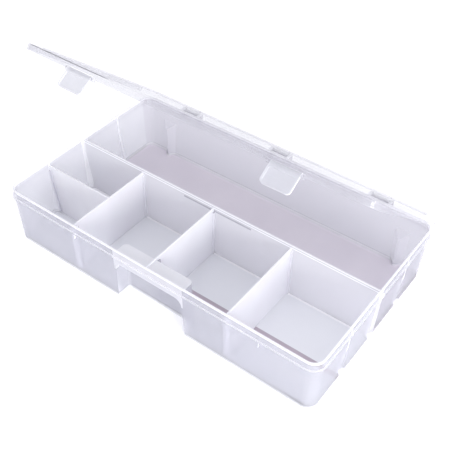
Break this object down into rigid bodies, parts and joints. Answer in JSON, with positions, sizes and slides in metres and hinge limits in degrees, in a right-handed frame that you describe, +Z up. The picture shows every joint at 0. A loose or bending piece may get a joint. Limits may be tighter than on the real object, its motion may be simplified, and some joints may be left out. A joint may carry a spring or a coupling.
{
  "type": "compartment storage box",
  "caption": "Frosted plastic tray with a fixed partition, lift-out dividers, a finger recess and a clear lid on a moulded hinge, closed by snap latches.",
  "frame": {"origin": "middle of the tray's flat underside", "axes": "+Z up, +X along the long side, -Y towards the side with the latches and the finger recess"},
  "size_m": [0.3596, 0.2196, 0.2034],
  "materials": {
    "frosted_plastic": "translucent polypropylene with a fine frosted texture, smooth on the rim",
    "clear_plastic": "clear glossy polypropylene",
    "latch_plastic": "translucent polypropylene, slightly glossy",
    "divider_plastic": "translucent polypropylene with a satin face"
  },
  "bodies": {
    "tray": {"tray": "frosted_plastic"},
    "lid": {"lid": "clear_plastic"},
    "latch_left": {"latch_left": "latch_plastic"},
    "latch_right": {"latch_right": "latch_plastic"},
    "divider_left": {"divider_left": "divider_plastic"},
    "divider_middle": {"divider_middle": "divider_plastic"},
    "divider_right": {"divider_right": "divider_plastic"},
    "short_divider": {"short_divider": "divider_plastic"}
  },
  "joints": [
    {"name": "lid_hinge", "type": "hinge", "parent": "tray", "child": "lid", "pos_m": [0, 0.11, 0.0624], "axis": [-1, 0, 0], "range_deg": [-39.5, 140.5]},
    {"name": "latch_left_hinge", "type": "hinge", "parent": "lid", "child": "latch_left", "pos_m": [-0.105, -0.05736, 0.19958], "axis": [-1, 0, 0], "range_deg": [-18.5, 90]},
    {"name": "latch_right_hinge", "type": "hinge", "parent": "lid", "child": "latch_right", "pos_m": [0.105, -0.05736, 0.19958], "axis": [-1, 0, 0], "range_deg": [-18.5, 90]},
    {"name": "divider_left_lift", "type": "slide", "parent": "tray", "child": "divider_left", "axis": [0, 0, 1], "range_m": [0, 0.065]},
    {"name": "divider_middle_lift", "type": "slide", "parent": "tray", "child": "divider_middle", "axis": [0, 0, 1], "range_m": [0, 0.065]},
    {"name": "divider_right_lift", "type": "slide", "parent": "tray", "child": "divider_right", "axis": [0, 0, 1], "range_m": [0, 0.065]},
    {"name": "short_divider_lift", "type": "slide", "parent": "tray", "child": "short_divider", "axis": [0, 0, 1], "range_m": [0, 0.065]}
  ]
}
